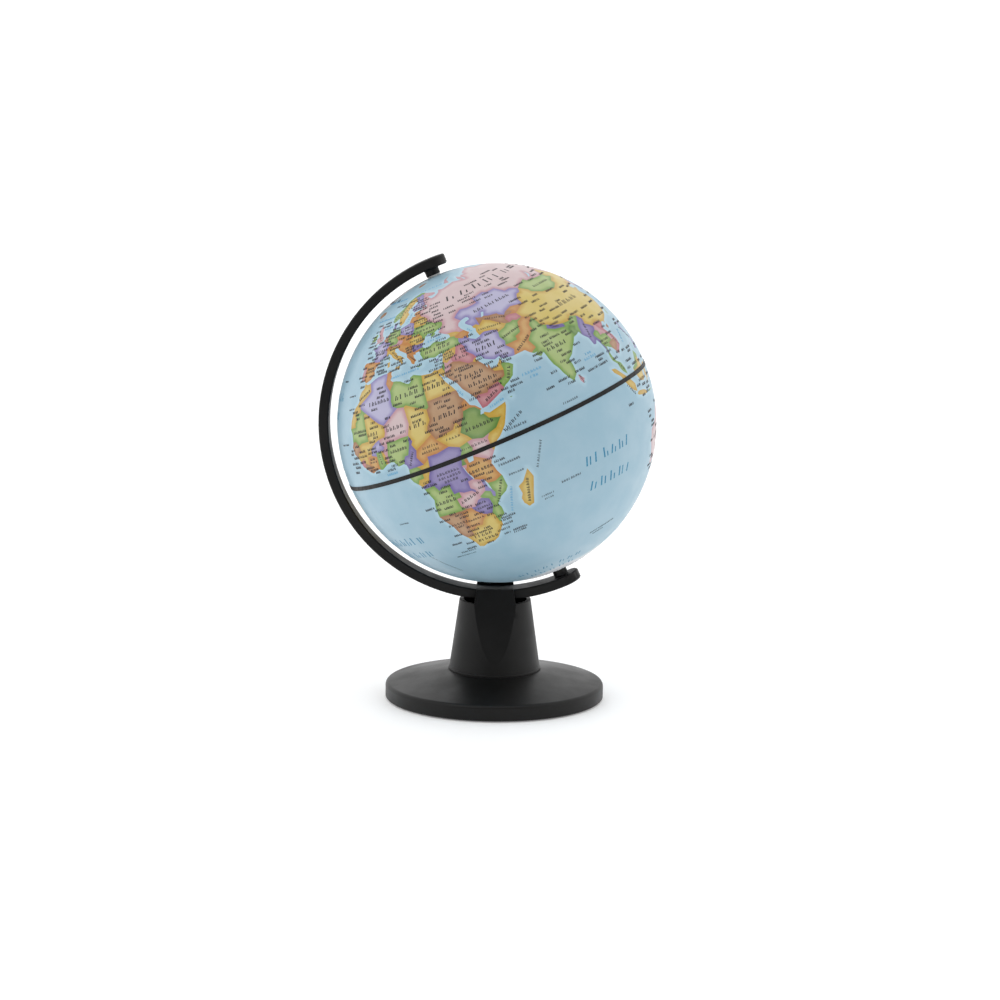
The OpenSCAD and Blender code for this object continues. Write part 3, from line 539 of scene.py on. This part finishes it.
def map_print():
    """Satin print on plastic: each tint deepens towards its edge, with fine ink mottling."""
    s = Shader("map_print", linear(163, 199, 216), 0.38)
    fill = s.add("Attribute", attribute_name="fill").outputs["Color"]
    edge = s.add("Attribute", attribute_name="edge").outputs["Color"]
    away = s.add("Attribute", attribute_name="away").outputs["Fac"]
    wobble = s.math("MULTIPLY", s.math("SUBTRACT", s.noise(500, 2), 0.5), 0.5)
    tinted = s.mix(s.ramp(s.math("ADD", away, wobble), 0.0, 2.0), edge, fill)
    mottle = s.ramp(s.noise(70, 4), 0.25, 0.75, 0.0, 0.07)
    s.colour(s.mix(mottle, tinted, (1, 1, 1)))
    s.roughness(s.ramp(s.noise(160, 4), 0.3, 0.7, 0.33, 0.44))
    s.bump((s.noise(45, 3), 0.00008), (s.noise(1400, 2), 0.000004))
    return s


def ink(name, dark, light):
    """Printing ink, a little uneven where it took less well."""
    s = Shader(name, dark, 0.42)
    s.colour(s.mix(s.ramp(s.noise(900, 3), 0.4, 0.75), dark, light))
    s.roughness(s.ramp(s.noise(300, 3), 0.3, 0.7, 0.36, 0.5))
    s.bump((s.noise(1600, 2), 0.000003))
    return s


# ---- CAD nodes ----


def soften(node, width):
    """Rounds a CAD node's sharp edges a little. Its own mesh stays as it is."""
    obj = NODES[node]
    weld = obj.modifiers.new("Weld", "WELD")
    weld.merge_threshold = 0.000002
    bevel = obj.modifiers.new("Bevel", "BEVEL")
    bevel.width = width
    bevel.segments = 3
    bevel.limit_method = "ANGLE"
    bevel.angle_limit = math.radians(35)
    bevel.harden_normals = True
    bevel.use_clamp_overlap = True
    normals = obj.modifiers.new("Normals", "WEIGHTED_NORMAL")
    normals.keep_sharp = True


def dress_nodes():
    for shader, nodes in (
        (black_plastic("satin_black_plastic", 0.46, 0.000012), ("meridian_arm", "column")),
        (black_plastic("base_black_plastic", 0.4, 0.000008), ("base_shell",)),
        (plated_steel(), ("north_axle_pin", "south_axle_pin", "cover_screws", "column_screws", "arm_screw",
                          "arm_screw_washer")),
        (cast_iron(), ("ballast_ring",)),
        (cover_board(), ("bottom_cover",)),
        (felt(), ("foot_felt",)),
        (white_plastic(), ("north_washer", "south_washer", "north_pole_bush", "south_pole_bush",
                           "joining_ring")),
        (tape(), ("equator_tape",)),
    ):
        for node in nodes:
            dress(NODES[node], shader)


dress_nodes()
for node in ("column", "meridian_arm", "base_shell"):
    soften(node, 0.3 * MM)


# ---- Printed ball ----

BALL_R = (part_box("south_hemisphere")[1][1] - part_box("south_hemisphere")[0][1]) / 2
SHELL = 1.2 * MM
FACING = 43.0            # meridian that faces the viewer at rest, degrees east
WEST, EAST = -170.0, 190.0
POLE_HOLE = 87.65        # the print stops at this latitude, round the bushes
LINE_STEP = 1.2          # longest piece of a shore or border, degrees
CLEAR_OF_LINE = 0.42     # no loose point of the mesh is closer to a line
FINE_TO = 3.2            # and they are close together up to this far from it
EAST_DIR = AXIS.cross(Vector((0, -1, 0)))
FRONT_DIR = EAST_DIR.cross(AXIS)
# Each tint: inside a country, and along its edges
TINTS = {
    "sea": (linear(145, 179, 196), linear(160, 193, 208)),
    "pink": (linear(196, 174, 176), linear(178, 130, 140)),
    "rose": (linear(184, 134, 138), linear(166, 94, 106)),
    "yellow": (linear(197, 176, 92), linear(182, 144, 42)),
    "green": (linear(154, 174, 106), linear(104, 142, 54)),
    "leaf": (linear(120, 146, 74), linear(80, 120, 42)),
    "lavender": (linear(170, 167, 196), linear(120, 110, 166)),
    "purple": (linear(132, 122, 168), linear(98, 84, 146)),
    "orange": (linear(190, 148, 80), linear(174, 112, 38)),
    "tan": (linear(170, 134, 98), linear(148, 100, 60)),
    "ice": (linear(206, 211, 216), linear(180, 194, 204)),
}
INSIDE_COLOUR = (0.8, 0.8, 0.78, 1)


def outward(lon, lat):
    """Unit vectors out of the ball at arrays of longitude and latitude, one row each."""
    turn = np.radians(lon - FACING)
    tilt = np.radians(lat)
    flat = np.cos(turn)[:, None] * np.array(FRONT_DIR) + np.sin(turn)[:, None] * np.array(EAST_DIR)
    return np.cos(tilt)[:, None] * flat + np.sin(tilt)[:, None] * np.array(AXIS)


def divided(line, closed=False):
    """The line with points added so that none of its pieces is much longer than LINE_STEP."""
    ends = np.vstack([line, line[:1]]) if closed else line
    made = []
    for a, b in zip(ends[:-1], ends[1:]):
        across = (b - a) * (math.cos(math.radians((a[1] + b[1]) / 2)), 1)
        parts = max(1, math.ceil(np.hypot(*across) / LINE_STEP))
        made += [a + (b - a) * i / parts for i in range(parts)]
    return np.array(made if closed else made + [ends[-1]])


def distance_to_lines(where, starts, ends):
    """Distance in degrees of arc from each point to the nearest of the pieces of line."""
    near = []
    for block in np.array_split(where, max(1, len(where) // 400)):
        squeeze = np.cos(np.radians(block[:, 1]))[:, None]
        ax = (starts[None, :, 0] - block[:, None, 0]) * squeeze
        ay = starts[None, :, 1] - block[:, None, 1]
        dx = (ends - starts)[None, :, 0] * squeeze
        dy = np.broadcast_to((ends - starts)[None, :, 1], dx.shape)
        along = np.clip(-(ax * dx + ay * dy) / np.maximum(dx * dx + dy * dy, 1e-12), 0, 1)
        near.append(np.sqrt(((ax + along * dx) ** 2 + (ay + along * dy) ** 2).min(axis=1)))
    return np.concatenate(near)


def loose_points(starts, ends):
    """Points to fill the map: about one to a degree near the lines, and one to two degrees elsewhere."""
    loose = []
    for row, lat in enumerate(np.arange(-87, 88)):
        count = max(24, round(360 * math.cos(math.radians(lat))))
        offset = 0.5 if row % 2 else 0.0
        for column in range(count):
            coarse = row % 2 == 0 and column % 2 == 0
            loose.append((WEST + 360 * (column + offset) / count, lat, coarse))
    loose = np.array(loose)
    gap = distance_to_lines(loose[:, :2], starts, ends)
    inside = (loose[:, 0] > WEST + 0.6) & (loose[:, 0] < EAST - 0.6) & (np.abs(loose[:, 1]) > 0.5)
    kept = inside & (gap > CLEAR_OF_LINE) & ((gap < FINE_TO) | (loose[:, 2] > 0))
    return loose[kept][:, :2]


def flat_map():
    """Cuts the flat map into triangles along every shore and border.
    Returns the points, the triangles, and the pairs of points that lie on a shore or border."""
    points = []
    edges = []

    def draw(line, closed=False):
        first = len(points)
        count = len(line)
        points.extend(tuple(point) for point in line)
        edges.extend((first + i, first + (i + 1) % count) for i in range(count if closed else count - 1))

    for shore in shapes(MAINLAND) + shapes(ISLANDS) + shapes(LAKES):
        draw(divided(shore, closed=True), closed=True)
    for border in shapes(ANTARCTICA) + shapes(BORDERS):
        draw(divided(border))
    parting = len(edges)
    ends = np.array(points)[np.array(edges)]
    edge_lats = np.concatenate([[-POLE_HOLE], np.arange(-87, 88, 1.5), [POLE_HOLE]])
    for lon in (WEST, EAST):
        draw([(lon, lat) for lat in edge_lats])
    for lat in (-POLE_HOLE, POLE_HOLE):
        draw([(lon, lat) for lon in np.linspace(WEST, EAST, 73)])
    draw([(lon, 0) for lon in np.linspace(WEST, EAST, 241)])
    points += [tuple(point) for point in loose_points(ends[:, 0], ends[:, 1])]
    found = delaunay_2d_cdt([Vector(point) for point in points], edges, [], 0, 1e-5, True)
    places = np.array([tuple(place) for place in found[0]])
    triangles = np.array([tuple(face) for face in found[2]])
    parted = set()
    for edge, sources in zip(found[1], found[4]):
        if any(source < parting for source in sources):
            parted.add(tuple(sorted(edge)))
    return places, triangles, parted


def regions(triangles, parted):
    """Number of the region that each triangle belongs to, and the triangles on each edge."""
    sides = {}
    for index, corners in enumerate(triangles):
        for a, b in zip(corners, np.roll(corners, -1)):
            sides.setdefault((min(a, b), max(a, b)), []).append(index)
    touching = [[] for _ in triangles]
    for edge, faces in sides.items():
        if len(faces) == 2 and edge not in parted:
            touching[faces[0]].append(faces[1])
            touching[faces[1]].append(faces[0])
    region = np.full(len(triangles), -1)
    count = 0
    for first in range(len(triangles)):
        if region[first] >= 0:
            continue
        region[first] = count
        queue = [first]
        while queue:
            for other in touching[queue.pop()]:
                if region[other] < 0:
                    region[other] = count
                    queue.append(other)
        count += 1
    return region, sides


def triangle_at(place, places, triangles):
    """Index of the triangle that holds a place on the flat map."""
    a, b, c = (places[triangles[:, i]] for i in range(3))
    inside = np.ones(len(triangles), bool)
    for p, q in ((a, b), (b, c), (c, a)):
        inside &= (q[:, 0] - p[:, 0]) * (place[1] - p[:, 1]) - (q[:, 1] - p[:, 1]) * (place[0] - p[:, 0]) >= 0
    return int(np.argmax(inside))


def tinted_map():
    """The map's points, its triangles and their tints, and each point's distance from the nearest line."""
    places, triangles, parted = flat_map()
    region, sides = regions(triangles, parted)
    tint = np.full(region.max() + 1, "sea", dtype=object)
    for name, seeds in COUNTRIES.items():
        for seed in entries(seeds):
            tint[region[triangle_at(seed, places, triangles)]] = name
    # A line with one region on both sides ran past its end, and is not drawn
    real = [edge for edge in parted if len({region[i] for i in sides[edge]}) == 2]
    ends = places[np.array(real)]
    return places, triangles, tint[region], distance_to_lines(places, ends[:, 0], ends[:, 1])


def half_ball(name, places, triangles, tint, away):
    """One printed half shell, closed, with the print's tints and line distances as attributes."""
    used = np.unique(triangles)
    lon = np.where(places[used, 0] >= EAST - 1e-6, WEST, places[used, 0])
    lat = places[used, 1]
    spots = np.round(np.stack([lon, lat], 1), 4)
    _, first, merged = np.unique(spots, axis=0, return_index=True, return_inverse=True)
    corners = np.ravel(merged)[np.searchsorted(used, triangles)]
    out = outward(lon[first], lat[first])
    count = len(out)
    vertices = np.vstack([out * BALL_R, out * (BALL_R - SHELL)]) + np.array(CENTRE)
    directed = dict.fromkeys((p, q) for a, b, c in corners.tolist() for p, q in ((a, b), (b, c), (c, a)))
    rim = [(p, p + count, q + count, q) for p, q in directed if (q, p) not in directed]
    inner = corners[:, ::-1] + count
    obj = add_mesh(name, vertices.tolist(), corners.tolist() + inner.tolist() + rim)
    mesh = obj.data
    plain = [INSIDE_COLOUR] * (len(mesh.loops) - corners.size)
    for attribute, shade in (("fill", 0), ("edge", 1)):
        colours = [(*TINTS[t][shade], 1) for t in tint for _ in range(3)] + plain
        mesh.attributes.new(attribute, "FLOAT_COLOR", "CORNER").data.foreach_set("color", np.ravel(colours))
    near = np.tile(np.minimum(away[used][first], 9), 2)
    mesh.attributes.new("away", "FLOAT", "POINT").data.foreach_set("value", near)
    level = [tuple(face.normal) for face in mesh.polygons[2 * len(corners):] for _ in face.vertices]
    normals = np.vstack([out[corners.ravel()], -out[inner.ravel() - count], level])
    mesh.normals_split_custom_set(normals.tolist())
    return obj


def print_ball():
    places, triangles, tint, away = tinted_map()
    middle = places[triangles][:, :, 1].mean(axis=1)
    paper = map_print()
    for name, node, half in (
        ("north_map", "north_hemisphere", middle > 0),
        ("south_map", "south_hemisphere", middle < 0),
    ):
        shell = half_ball(name, places, triangles[half], tint[half], away)
        dress(shell, paper)
        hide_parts(node)
        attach(shell, "globe")


print_ball()


# ---- Marks on the print ----

# Rows of plain strokes where a printed globe has its names. Each row: longitude and latitude of its middle,
# number of strokes, their height and spacing in degrees of arc, and the turn of the row in degrees
ROWS = {
    "ink": """
# Asia
76/60.5/6/3.2/5.2/2 68/48.2/10/1.4/1.5/3 102.5/35/5/2/2.6/0 103/46.6/8/1.1/1.3/0 79/22/5/1.7/1.9/0
67.6/28/8/1/0.95/28 54/32.5/4/1.8/2.1/0 66/33.6/10/0.9/0.8/12 59.5/39/11/0.8/0.75/-8 64/41.6/9/0.8/0.8/-20
44/25/5/1.5/1.8/0 47/21.6/6/1.5/1.8/0 47.8/15.7/5/1.2/1.1/22 56.8/20.6/4/1.2/1.2/62 43.3/32.6/4/1.1/1.3/0
38.4/34.9/5/0.8/0.8/0 34.5/39.2/6/1.3/1.6/0 96/21.5/6/1/1/74 101/15.8/7/0.9/0.8/0 107.8/14/6/0.8/0.8/-72
102/4.6/6/0.8/0.7/-56 101.5/-3.3/8/1/1/-48 114/-3/8/1/1.1/0 137/36.6/5/1/1.2/44 127.8/36.4/5/0.8/0.7/-70
121/14/8/0.9/0.9/-50 84/28.2/5/0.7/0.6/-12 80.8/7.6/6/0.7/0.6/-80
# Africa
29/26.4/5/1.7/1.8/0 17/27/5/1.7/2/0 3/27.8/7/1.5/1.5/0 -6/31.7/7/1/1/22 -10.4/19.6/9/1.1/0.95/0
-2.4/17.6/4/1.4/1.6/0 9/17.4/5/1.4/1.6/0 18.8/15.6/4/1.5/1.8/0 30/15.4/5/1.6/1.9/0 30/7.4/5/0.9/1.1/0
40/8/8/1.3/1.3/0 51/4.9/7/1.2/1.3/26 37.6/2.4/5/1/1.2/0 34.6/-6/8/1.2/1.1/0 32.6/2.3/6/0.7/0.7/0
23.4/-2.9/8/1/1.1/0 23.4/-4.4/8/1/1.1/0 23.4/-5.9/5/1/1.1/0 12.4/5.6/7/0.9/0.8/56 21/7.4/7/0.9/0.9/0
20.6/5.9/8/0.9/0.9/0 8.2/9.8/7/1.2/1.1/0 -1.3/8.3/5/0.8/0.7/-84 -5.6/8.2/5/0.8/0.8/0 -10.8/11/6/0.9/0.8/0
17.6/-12.5/6/1.4/1.4/0 26.6/-14/6/1.2/1.3/14 29.6/-19/8/0.9/0.85/0 37.4/-15.6/9/1/0.95/62 17/-22/7/1/1.2/0
24/-22.4/8/0.9/0.9/0 23/-29.6/5/1.3/1.4/0 24/-31.6/6/1.3/1.3/0 46.8/-19.4/9/1.1/1/76
# Europe
-3.6/40/5/1.1/1.1/0 2.3/46.8/6/1.1/1.1/0 10/51/7/0.9/0.9/0 19/52.1/6/0.9/0.9/0 31.4/49.1/7/1/1.2/0
28/53.6/7/0.8/0.8/0 25/46/7/0.8/0.8/0 12.6/43.2/5/0.8/0.8/-48 15/62.4/6/0.9/1.1/58 9/61/6/0.9/1/52
26.4/63/7/0.9/1/0 -1.8/53/5/0.8/0.8/-60 -8/53/5/0.7/0.7/0 22/39.4/6/0.7/0.7/-50
# Americas, Oceania and Antarctica
-106/58/6/2.3/4.4/0 -99/40.4/12/1.9/2.8/0 -102.5/24/6/1.3/1.7/-34 -52/-9/6/2/3.4/0 -65.6/-35/9/1.3/1.4/78
-75/-9.6/4/1.4/1.6/-52 -64.4/-17/7/1.1/1.1/0 -73.4/3.8/8/1.1/1.1/0 -66/7.4/9/1/1/0 -70.8/-32/5/0.9/1.8/80
-58.4/-23.4/8/0.8/0.8/0 -78.6/-2.2/6/0.7/0.6/0 -41/72/9/1.7/2.4/0 -152/65/6/1.3/1.7/0 -79/21.7/4/0.7/0.8/-14
134/-25/9/2/3.4/0 172/-42.6/6/1/1.2/50 144/-6.4/5/1/1.2/0 60/-77/10/1.8/3/0 -60/-81/10/1.6/3/0
# Islands in the sea
55/-8.8/10/0.9/1/62 63.5/-22/9/0.9/0.9/0 72.7/3/8/0.8/0.8/0 45.4/-11.6/7/0.8/0.8/0 44.6/-7.2/10/0.9/0.8/0
12/-34.6/8/0.8/0.8/0 9.4/-36.2/16/0.5/0.55/0 78.6/-50.4/16/0.7/0.7/6 76/-52/8/0.6/0.6/6 53/-24/7/0.7/0.7/0
53/-25.4/5/0.7/0.7/0 51.6/2.9/9/0.9/0.8/0 -7/-38.6/22/0.5/0.6/-70 -27/38.6/6/0.7/0.7/0 -16/32.6/7/0.7/0.7/0
-16/28/6/0.7/0.7/0 -24/16/10/0.7/0.7/0 -5.8/-16/9/0.6/0.6/0 -157/19.6/6/0.8/0.9/-20 -177/-18/4/0.8/0.9/0
179/-17/4/0.8/0.9/0 165.5/-22/8/0.7/0.7/-40 -91/-3/9/0.7/0.7/0 -59/-53.4/8/0.8/0.8/0
""",
    "teal": """
82/-19/6/3.7/3.9/0 82/-28.7/5/3.7/4.4/0 -20/-24/8/3.5/3.9/0 -18.5/-31/5/3.5/4.4/0 -45/33/8/3/3.9/0
-45/26.5/5/3/4.4/0 -125/-14/7/3.4/4.4/0 -125/-21.5/5/3.4/4.8/0 -160/34/7/3.2/4.2/0 -160/27/5/3.2/4.6/0
160/14/7/3/4/0 160/7.4/5/3/4.4/0 40/-62/8/2.2/3.2/0 40/-67/5/2.2/3.6/0 -120/-58/8/2.2/3.2/0
""",
    "cyan": """
64.6/17.6/7/1/1.1/0 64.6/15.9/3/1/1.1/0 89/14.6/3/1/1.1/0 89/13/6/1/1.1/0 17.6/34.6/13/0.8/0.9/0
34/43.3/5/0.9/1/0 51/41/3/0.7/0.8/-60 38/20.6/3/0.9/1/-60 48.5/12.6/7/0.8/0.8/10 2/2.6/6/0.9/0.9/0
19.6/57.6/6/0.7/0.8/70 3/56.4/5/0.8/0.9/0 -5/61.5/8/1/1.2/0 114/14/5/1.1/1.2/60 128/29/4/1/1.1/60
134/40/3/0.9/1.1/40 150/53/7/1/1.2/0 157/-40/6/1.1/1.3/0 155/-17/5/1/1.2/0 40/-20/10/0.8/1/70
-90/25/6/1.2/1.4/0 -74/15/9/1.1/1.3/0 -86/60/6/1.2/1.4/70 -60/64/5/1/1.2/60 40/72/7/1/1.4/0
-178/58/6/1.1/1.3/0 120/-62/9/0.9/1.2/0 -40/-62/7/0.9/1.2/0 -10/71/9/1/1.3/0
""",
}
# Small rows at random places: west, east, south, north, number of rows
TOWNS = """
-9/40/37/60/84 5/30/56/68/12 32/140/50/66/28 31/60/14/40/44 -14/36/6/36/46 -20/9/4/15/18 10/42/-34/-3/46
67/94/8/32/30 76/122/22/45/26 95/126/-9/20/26 129/146/31/44/10 113/153/-38/-13/32 -124/-68/26/54/84
-160/-62/53/68/24 -108/-62/9/26/36 -79/-38/-40/8/62
"""
INK_LIFT = 0.05 * MM
EQUATOR_CLEAR = 1.5      # no mark closer to the tape, degrees
TOWN_HEIGHT = 0.95       # strokes of the small rows, degrees
TOWN_SPACING = 0.66


def slab(middle, turn, across, up, width, height, lean):
    """Corners of one stroke, set (across, up) from the middle of its row, as longitude and latitude."""
    slope = math.tan(math.radians(lean))
    corners = np.array([(-width, -height), (width, -height), (width, height), (-width, height)]) / 2
    corners[:, 0] += corners[:, 1] * slope + across
    corners[:, 1] += up
    cosine, sine = math.cos(math.radians(turn)), math.sin(math.radians(turn))
    east = corners[:, 0] * cosine - corners[:, 1] * sine
    north = corners[:, 0] * sine + corners[:, 1] * cosine
    return np.stack([middle[0] + east / math.cos(math.radians(middle[1])), middle[1] + north], axis=1)


def row_of_strokes(chance, middle, count, height, spacing, turn):
    """Plain strokes of mixed height and lean in a row. They stand for a name, and none is a letter."""
    strokes = []
    thick = 0.12 * min(height, 1.7) + 0.11 * height
    for i in range(int(count)):
        across = (i - (count - 1) / 2) * spacing
        tall = height * chance.uniform(0.8, 1.0)
        lean = chance.uniform(0, 20)
        up = (tall - height) / 2
        strokes.append(slab(middle, turn, across - 0.17 * spacing, up, thick, tall, lean))
        if chance.random() < 0.8:
            tall = height * chance.uniform(0.4, 0.9)
            up = (tall - height) / 2
            strokes.append(slab(middle, turn, across + 0.2 * spacing, up, 0.8 * thick, tall, lean))
    return strokes


def town_rows(chance, taken):
    """Small rows at random places that keep clear of the rows already taken and of the equator."""
    rows = []
    for west, east, south, north, count in entries(TOWNS):
        left = int(count)
        for _ in range(int(count) * 12):
            middle = np.array([chance.uniform(west, east), chance.uniform(south, north)])
            strokes = chance.integers(4, 9)
            half = 0.3 * strokes + 0.3
            squeeze = math.cos(math.radians(middle[1]))
            clear = all(abs(middle[0] - x) * squeeze > half + long or abs(middle[1] - y) > 0.5 + tall
                        for x, y, long, tall in taken)
            if clear and abs(middle[1]) > EQUATOR_CLEAR + 0.5 and left:
                taken.append((middle[0], middle[1], half, 0.5))
                rows.append((middle, strokes, TOWN_HEIGHT, TOWN_SPACING, 0.0))
                left -= 1
    return rows


def ink_piece(name, strokes, shader):
    """All strokes of one colour as thin closed slabs that stand just proud of the ball."""
    corners = np.array(strokes)
    corners = corners[np.abs(corners[:, :, 1]).min(axis=1) > EQUATOR_CLEAR]
    out = outward(corners[:, :, 0].ravel(), corners[:, :, 1].ravel()).reshape(-1, 4, 3)
    layers = [out * (BALL_R + INK_LIFT), out * (BALL_R - INK_LIFT)]
    vertices = np.concatenate(layers, axis=1) + np.array(CENTRE)
    sides = [(0, 1, 2, 3), (7, 6, 5, 4)] + [(i, i + 4, (i + 1) % 4 + 4, (i + 1) % 4) for i in range(4)]
    faces = (np.arange(len(vertices))[:, None, None] * 8 + np.array(sides)).reshape(-1, 4)
    obj = add_mesh(name, vertices.reshape(-1, 3).tolist(), faces.tolist())
    dress(obj, shader)
    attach(obj, "globe")


def draw_marks():
    chance = np.random.default_rng(11)
    made = {name: [] for name in ROWS}
    taken = []
    for name, text in ROWS.items():
        for lon, lat, count, height, spacing, turn in entries(text):
            made[name] += row_of_strokes(chance, (lon, lat), count, height, spacing, turn)
            wide, tall = abs(math.cos(math.radians(turn))), abs(math.sin(math.radians(turn)))
            half = count * spacing / 2
            taken.append((lon, lat, half * wide + height * tall, half * tall + height * wide / 2))
    for row in town_rows(chance, taken):
        made["ink"] += row_of_strokes(chance, *row)
    ink_piece("ink_names", made["ink"], ink("dark_ink", linear(18, 16, 24), linear(58, 52, 60)))
    ink_piece("ink_ocean_names", made["teal"], ink("teal_ink", linear(26, 118, 156), linear(64, 146, 178)))
    ink_piece("ink_sea_names", made["cyan"], ink("cyan_ink", linear(66, 150, 196), linear(100, 172, 208)))


draw_marks()


# ---- Studio ----

FLOOR_REACH = 6.0
FLOOR_GLOW = 0.19        # keeps the table white up to a narrow contact shadow
ROOM_FRONT = 0.1         # brightness of the room behind the viewer
ROOM_AROUND = 1.2        # and everywhere else
CAMERA_DISTANCE = 1.16
CAMERA_LIFT = math.radians(6.8)
CAMERA_TURN = math.radians(0.57)
AIM_FROM_CENTRE = Vector((0.002, 0, -0.039))


def floor():
    """Pale table top that runs off to a white room."""
    corners = [(x * FLOOR_REACH, y * FLOOR_REACH, 0) for x, y in ((-1, -1), (1, -1), (1, 1), (-1, 1))]
    obj = add_mesh("floor", corners, [(0, 1, 2, 3)])
    s = Shader("floor", (0.9, 0.9, 0.9), 0.6, Emission_Color=(1, 1, 1, 1), Emission_Strength=FLOOR_GLOW)
    s.roughness(s.ramp(s.noise(8, 2), 0.3, 0.7, 0.55, 0.7))
    dress(obj, s)


def softbox(name, place, aim, width, height, power):
    light = bpy.data.lights.new(name, "AREA")
    light.shape = "RECTANGLE"
    light.size = width
    light.size_y = height
    light.energy = power
    obj = add_object(name, light)
    obj.location = place
    obj.rotation_euler = (Vector(aim) - Vector(place)).to_track_quat("-Z", "Y").to_euler()


def room():
    """White all round, but dimmer behind the viewer, which keeps the faces turned to the viewer dark."""
    world = bpy.data.worlds.new("room")
    world.use_nodes = True
    tree = world.node_tree
    direction = tree.nodes.new("ShaderNodeTexCoord").outputs["Generated"]
    parts = tree.nodes.new("ShaderNodeSeparateXYZ")
    tree.links.new(direction, parts.inputs["Vector"])
    fade = tree.nodes.new("ShaderNodeMapRange")
    set_range(fade, -0.98, -0.45, ROOM_FRONT, ROOM_AROUND)
    tree.links.new(parts.outputs["Y"], fade.inputs["Value"])
    background = tree.nodes["Background"]
    background.inputs["Color"].default_value = (1, 1, 1, 1)
    tree.links.new(fade.outputs["Result"], background.inputs["Strength"])
    bpy.context.scene.world = world


def camera():
    """Long lens from the front, a little above the ball, with the picture turned slightly clockwise."""
    place = CENTRE + Vector((0, -math.cos(CAMERA_LIFT), math.sin(CAMERA_LIFT))) * CAMERA_DISTANCE
    data = bpy.data.cameras.new("camera")
    data.lens = 83.1
    data.sensor_width = 36.0
    obj = add_object("camera", data)
    look = (CENTRE + AIM_FROM_CENTRE - place).to_track_quat("-Z", "Y").to_matrix()
    turn = look @ Matrix.Rotation(CAMERA_TURN, 3, "Z")
    obj.matrix_world = Matrix.Translation(place) @ turn.to_4x4()
    bpy.context.scene.camera = obj


floor()
room()
softbox("key", (-0.9, -1.2, 1.4), (0, 0, 0.1), 0.9, 0.9, 3)
camera()
bpy.context.scene.view_settings.view_transform = "Standard"
